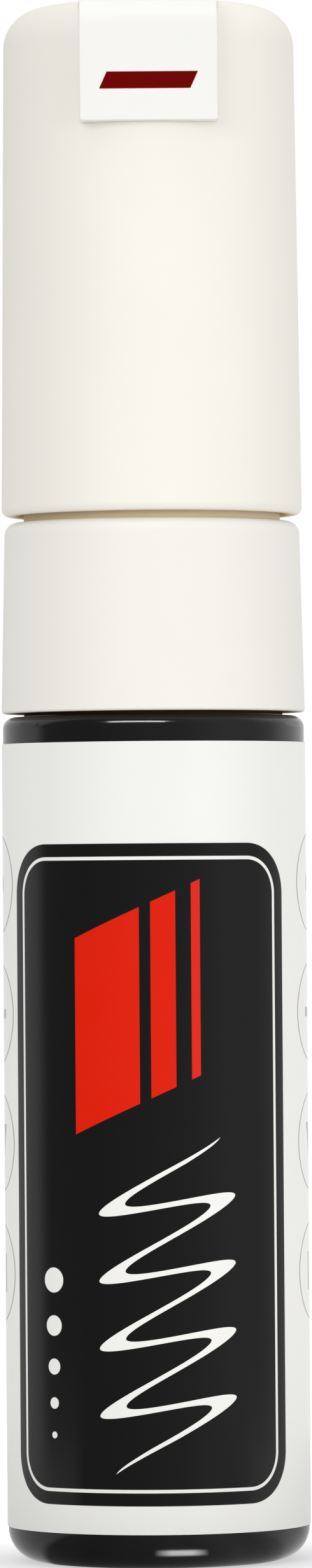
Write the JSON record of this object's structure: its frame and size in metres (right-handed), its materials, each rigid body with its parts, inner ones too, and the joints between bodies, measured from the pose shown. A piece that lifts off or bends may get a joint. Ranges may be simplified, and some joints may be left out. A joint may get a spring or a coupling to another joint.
{
  "type": "liquid chalk marker",
  "caption": "Broad-tipped pump-action liquid chalk marker: black ink barrel with a printed sleeve, white collar, pull-off cap with a square tab, and a sprung chisel nib on a valve.",
  "frame": {"origin": "centre of the barrel's rear end, on the surface that the marker stands on", "axes": "+Z along the marker's axis from the rear end to the cap's top; -Y is the side with the cap's tab; +X to the right seen from that side"},
  "size_m": [0.027, 0.0275, 0.1381],
  "materials": {
    "barrel_black": "glossy black blow-moulded polypropylene",
    "label_film": "glossy printed film, white ground with a black panel",
    "collar_white": "satin warm white moulding",
    "seal_rubber": "matt black elastomer",
    "holder_white": "satin white moulding",
    "nib_felt": "bonded polyester fibre",
    "valve_plastic": "natural acetal",
    "spring_steel": "bright stainless wire",
    "ball_steel": "polished steel",
    "cap_white": "satin warm white moulding",
    "inner_cap_plastic": "translucent soft polyethylene",
    "clip_white": "smooth white moulding"
  },
  "bodies": {
    "barrel": {"barrel": "barrel_black", "barrel_label": "label_film", "fore_barrel": "collar_white", "neck_gasket": "seal_rubber", "nib_holder": "holder_white", "valve_seat": "seal_rubber", "valve_housing": "valve_plastic", "valve_spring": "spring_steel", "spring_retainer": "valve_plastic"},
    "nib": {"nib": "nib_felt"},
    "valve": {"valve_stem": "valve_plastic"},
    "ball": {"mixing_ball": "ball_steel"},
    "cap": {"cap_shell": "cap_white", "inner_cap": "inner_cap_plastic", "cap_clip": "clip_white"}
  },
  "joints": [
    {"name": "cap_pull", "type": "slide", "parent": "barrel", "child": "cap", "axis": [0, 0, 1], "range_m": [0, 0.045]},
    {"name": "nib_press", "type": "slide", "parent": "barrel", "child": "nib", "axis": [0, 0, -1], "range_m": [0, 0.0025], "stiffness_N_per_m": 400, "springref_m": -0.002},
    {"name": "valve_open", "type": "slide", "parent": "barrel", "child": "valve", "axis": [0, 0, -1], "range_m": [0, 0.0025], "deforming": ["valve_spring"]},
    {"name": "ball_rattle", "type": "slide", "parent": "barrel", "child": "ball", "axis": [0, 0, 1], "range_m": [0, 0.063]}
  ],
  "couplings": [
    {"joint": "valve_open", "follows": "nib_press", "ratio": 1}
  ]
}
